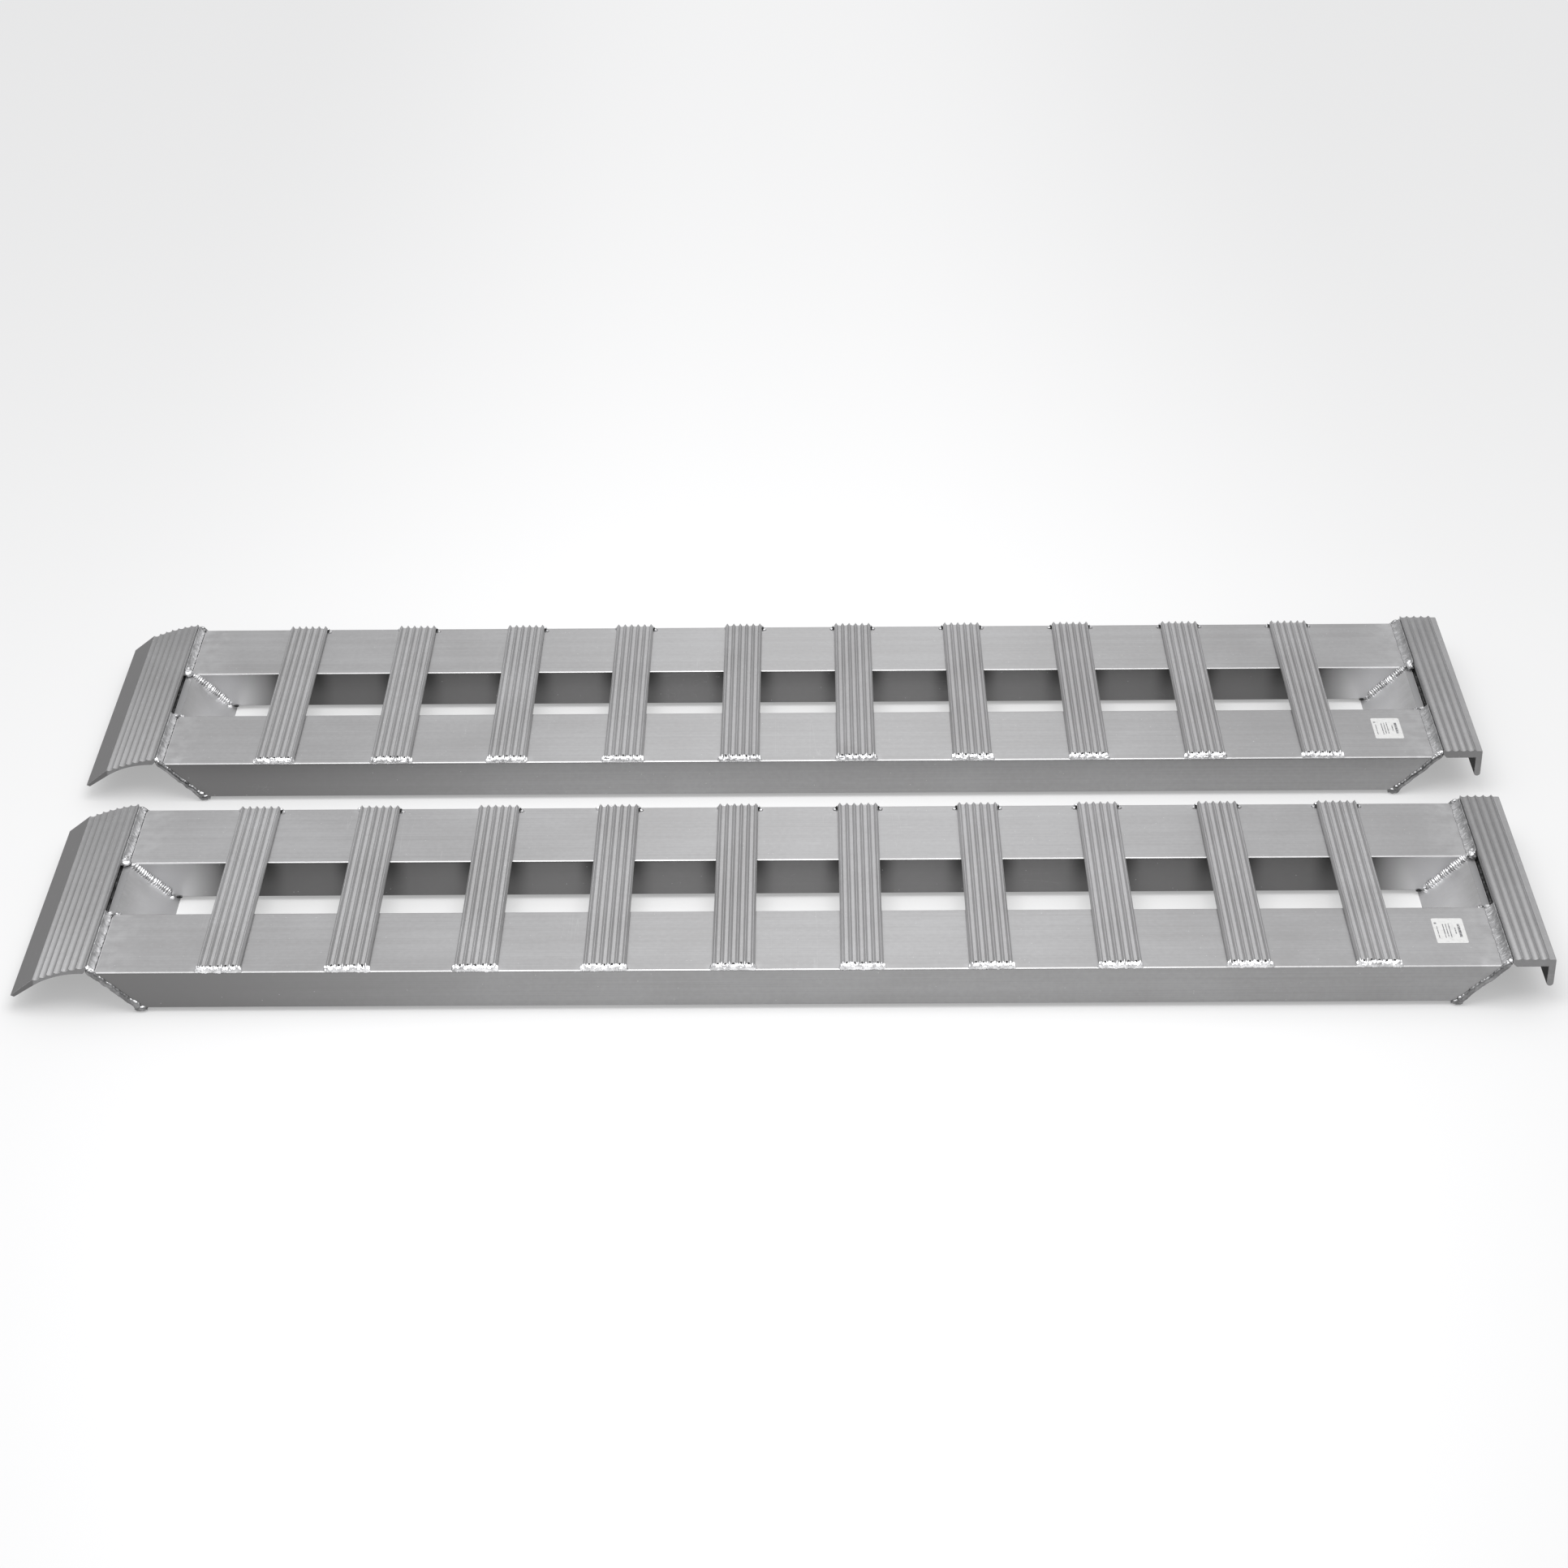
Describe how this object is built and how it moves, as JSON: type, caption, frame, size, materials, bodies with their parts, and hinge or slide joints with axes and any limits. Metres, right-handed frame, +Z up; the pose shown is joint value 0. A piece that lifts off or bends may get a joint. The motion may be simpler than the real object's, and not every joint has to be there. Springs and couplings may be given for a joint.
{
  "type": "loading ramp pair",
  "caption": "Pair of rigid welded aluminium loading ramps with box-tube rails, ribbed cross treads, a curved ground foot and a hook lip for a truck or trailer deck.",
  "frame": {"origin": "on the floor under the middle of the pair's bounding box, with the ramps lying flat", "axes": "+X from the ground foot to the hook lip, +Y to the left of a driver going up, +Z up"},
  "size_m": [1.8288, 0.8508, 0.068],
  "materials": {
    "rail_aluminium": "mill finish, faint die lines along the tube",
    "tread_aluminium": "mill finish, matte",
    "lip_aluminium": "mill finish, matte",
    "plate_aluminium": "mill finish, satin",
    "weld_aluminium": "bright rippled weld bead",
    "label_vinyl": "white vinyl label, blank"
  },
  "bodies": {
    "left_ramp": {"left_inner_rail": "rail_aluminium", "left_outer_rail": "rail_aluminium", "left_tread_01": "tread_aluminium", "left_tread_02": "tread_aluminium", "left_tread_03": "tread_aluminium", "left_tread_04": "tread_aluminium", "left_tread_05": "tread_aluminium", "left_tread_06": "tread_aluminium", "left_tread_07": "tread_aluminium", "left_tread_08": "tread_aluminium", "left_tread_09": "tread_aluminium", "left_tread_10": "tread_aluminium", "left_ground_foot": "lip_aluminium", "left_hook_lip": "lip_aluminium", "left_ground_end_plate": "plate_aluminium", "left_deck_end_plate": "plate_aluminium", "left_foot_welds": "weld_aluminium", "left_hook_welds": "weld_aluminium", "left_seam_welds": "weld_aluminium", "left_tread_welds": "weld_aluminium", "left_rating_label": "label_vinyl"},
    "right_ramp": {"right_outer_rail": "rail_aluminium", "right_inner_rail": "rail_aluminium", "right_tread_01": "tread_aluminium", "right_tread_02": "tread_aluminium", "right_tread_03": "tread_aluminium", "right_tread_04": "tread_aluminium", "right_tread_05": "tread_aluminium", "right_tread_06": "tread_aluminium", "right_tread_07": "tread_aluminium", "right_tread_08": "tread_aluminium", "right_tread_09": "tread_aluminium", "right_tread_10": "tread_aluminium", "right_ground_foot": "lip_aluminium", "right_hook_lip": "lip_aluminium", "right_ground_end_plate": "plate_aluminium", "right_deck_end_plate": "plate_aluminium", "right_foot_welds": "weld_aluminium", "right_hook_welds": "weld_aluminium", "right_seam_welds": "weld_aluminium", "right_tread_welds": "weld_aluminium", "right_rating_label": "label_vinyl"}
  },
  "joints": [
    {"name": "right_ramp_spacing", "type": "slide", "parent": "left_ramp", "child": "right_ramp", "axis": [0, -1, 0], "range_m": [-0.1, 0.7]}
  ]
}
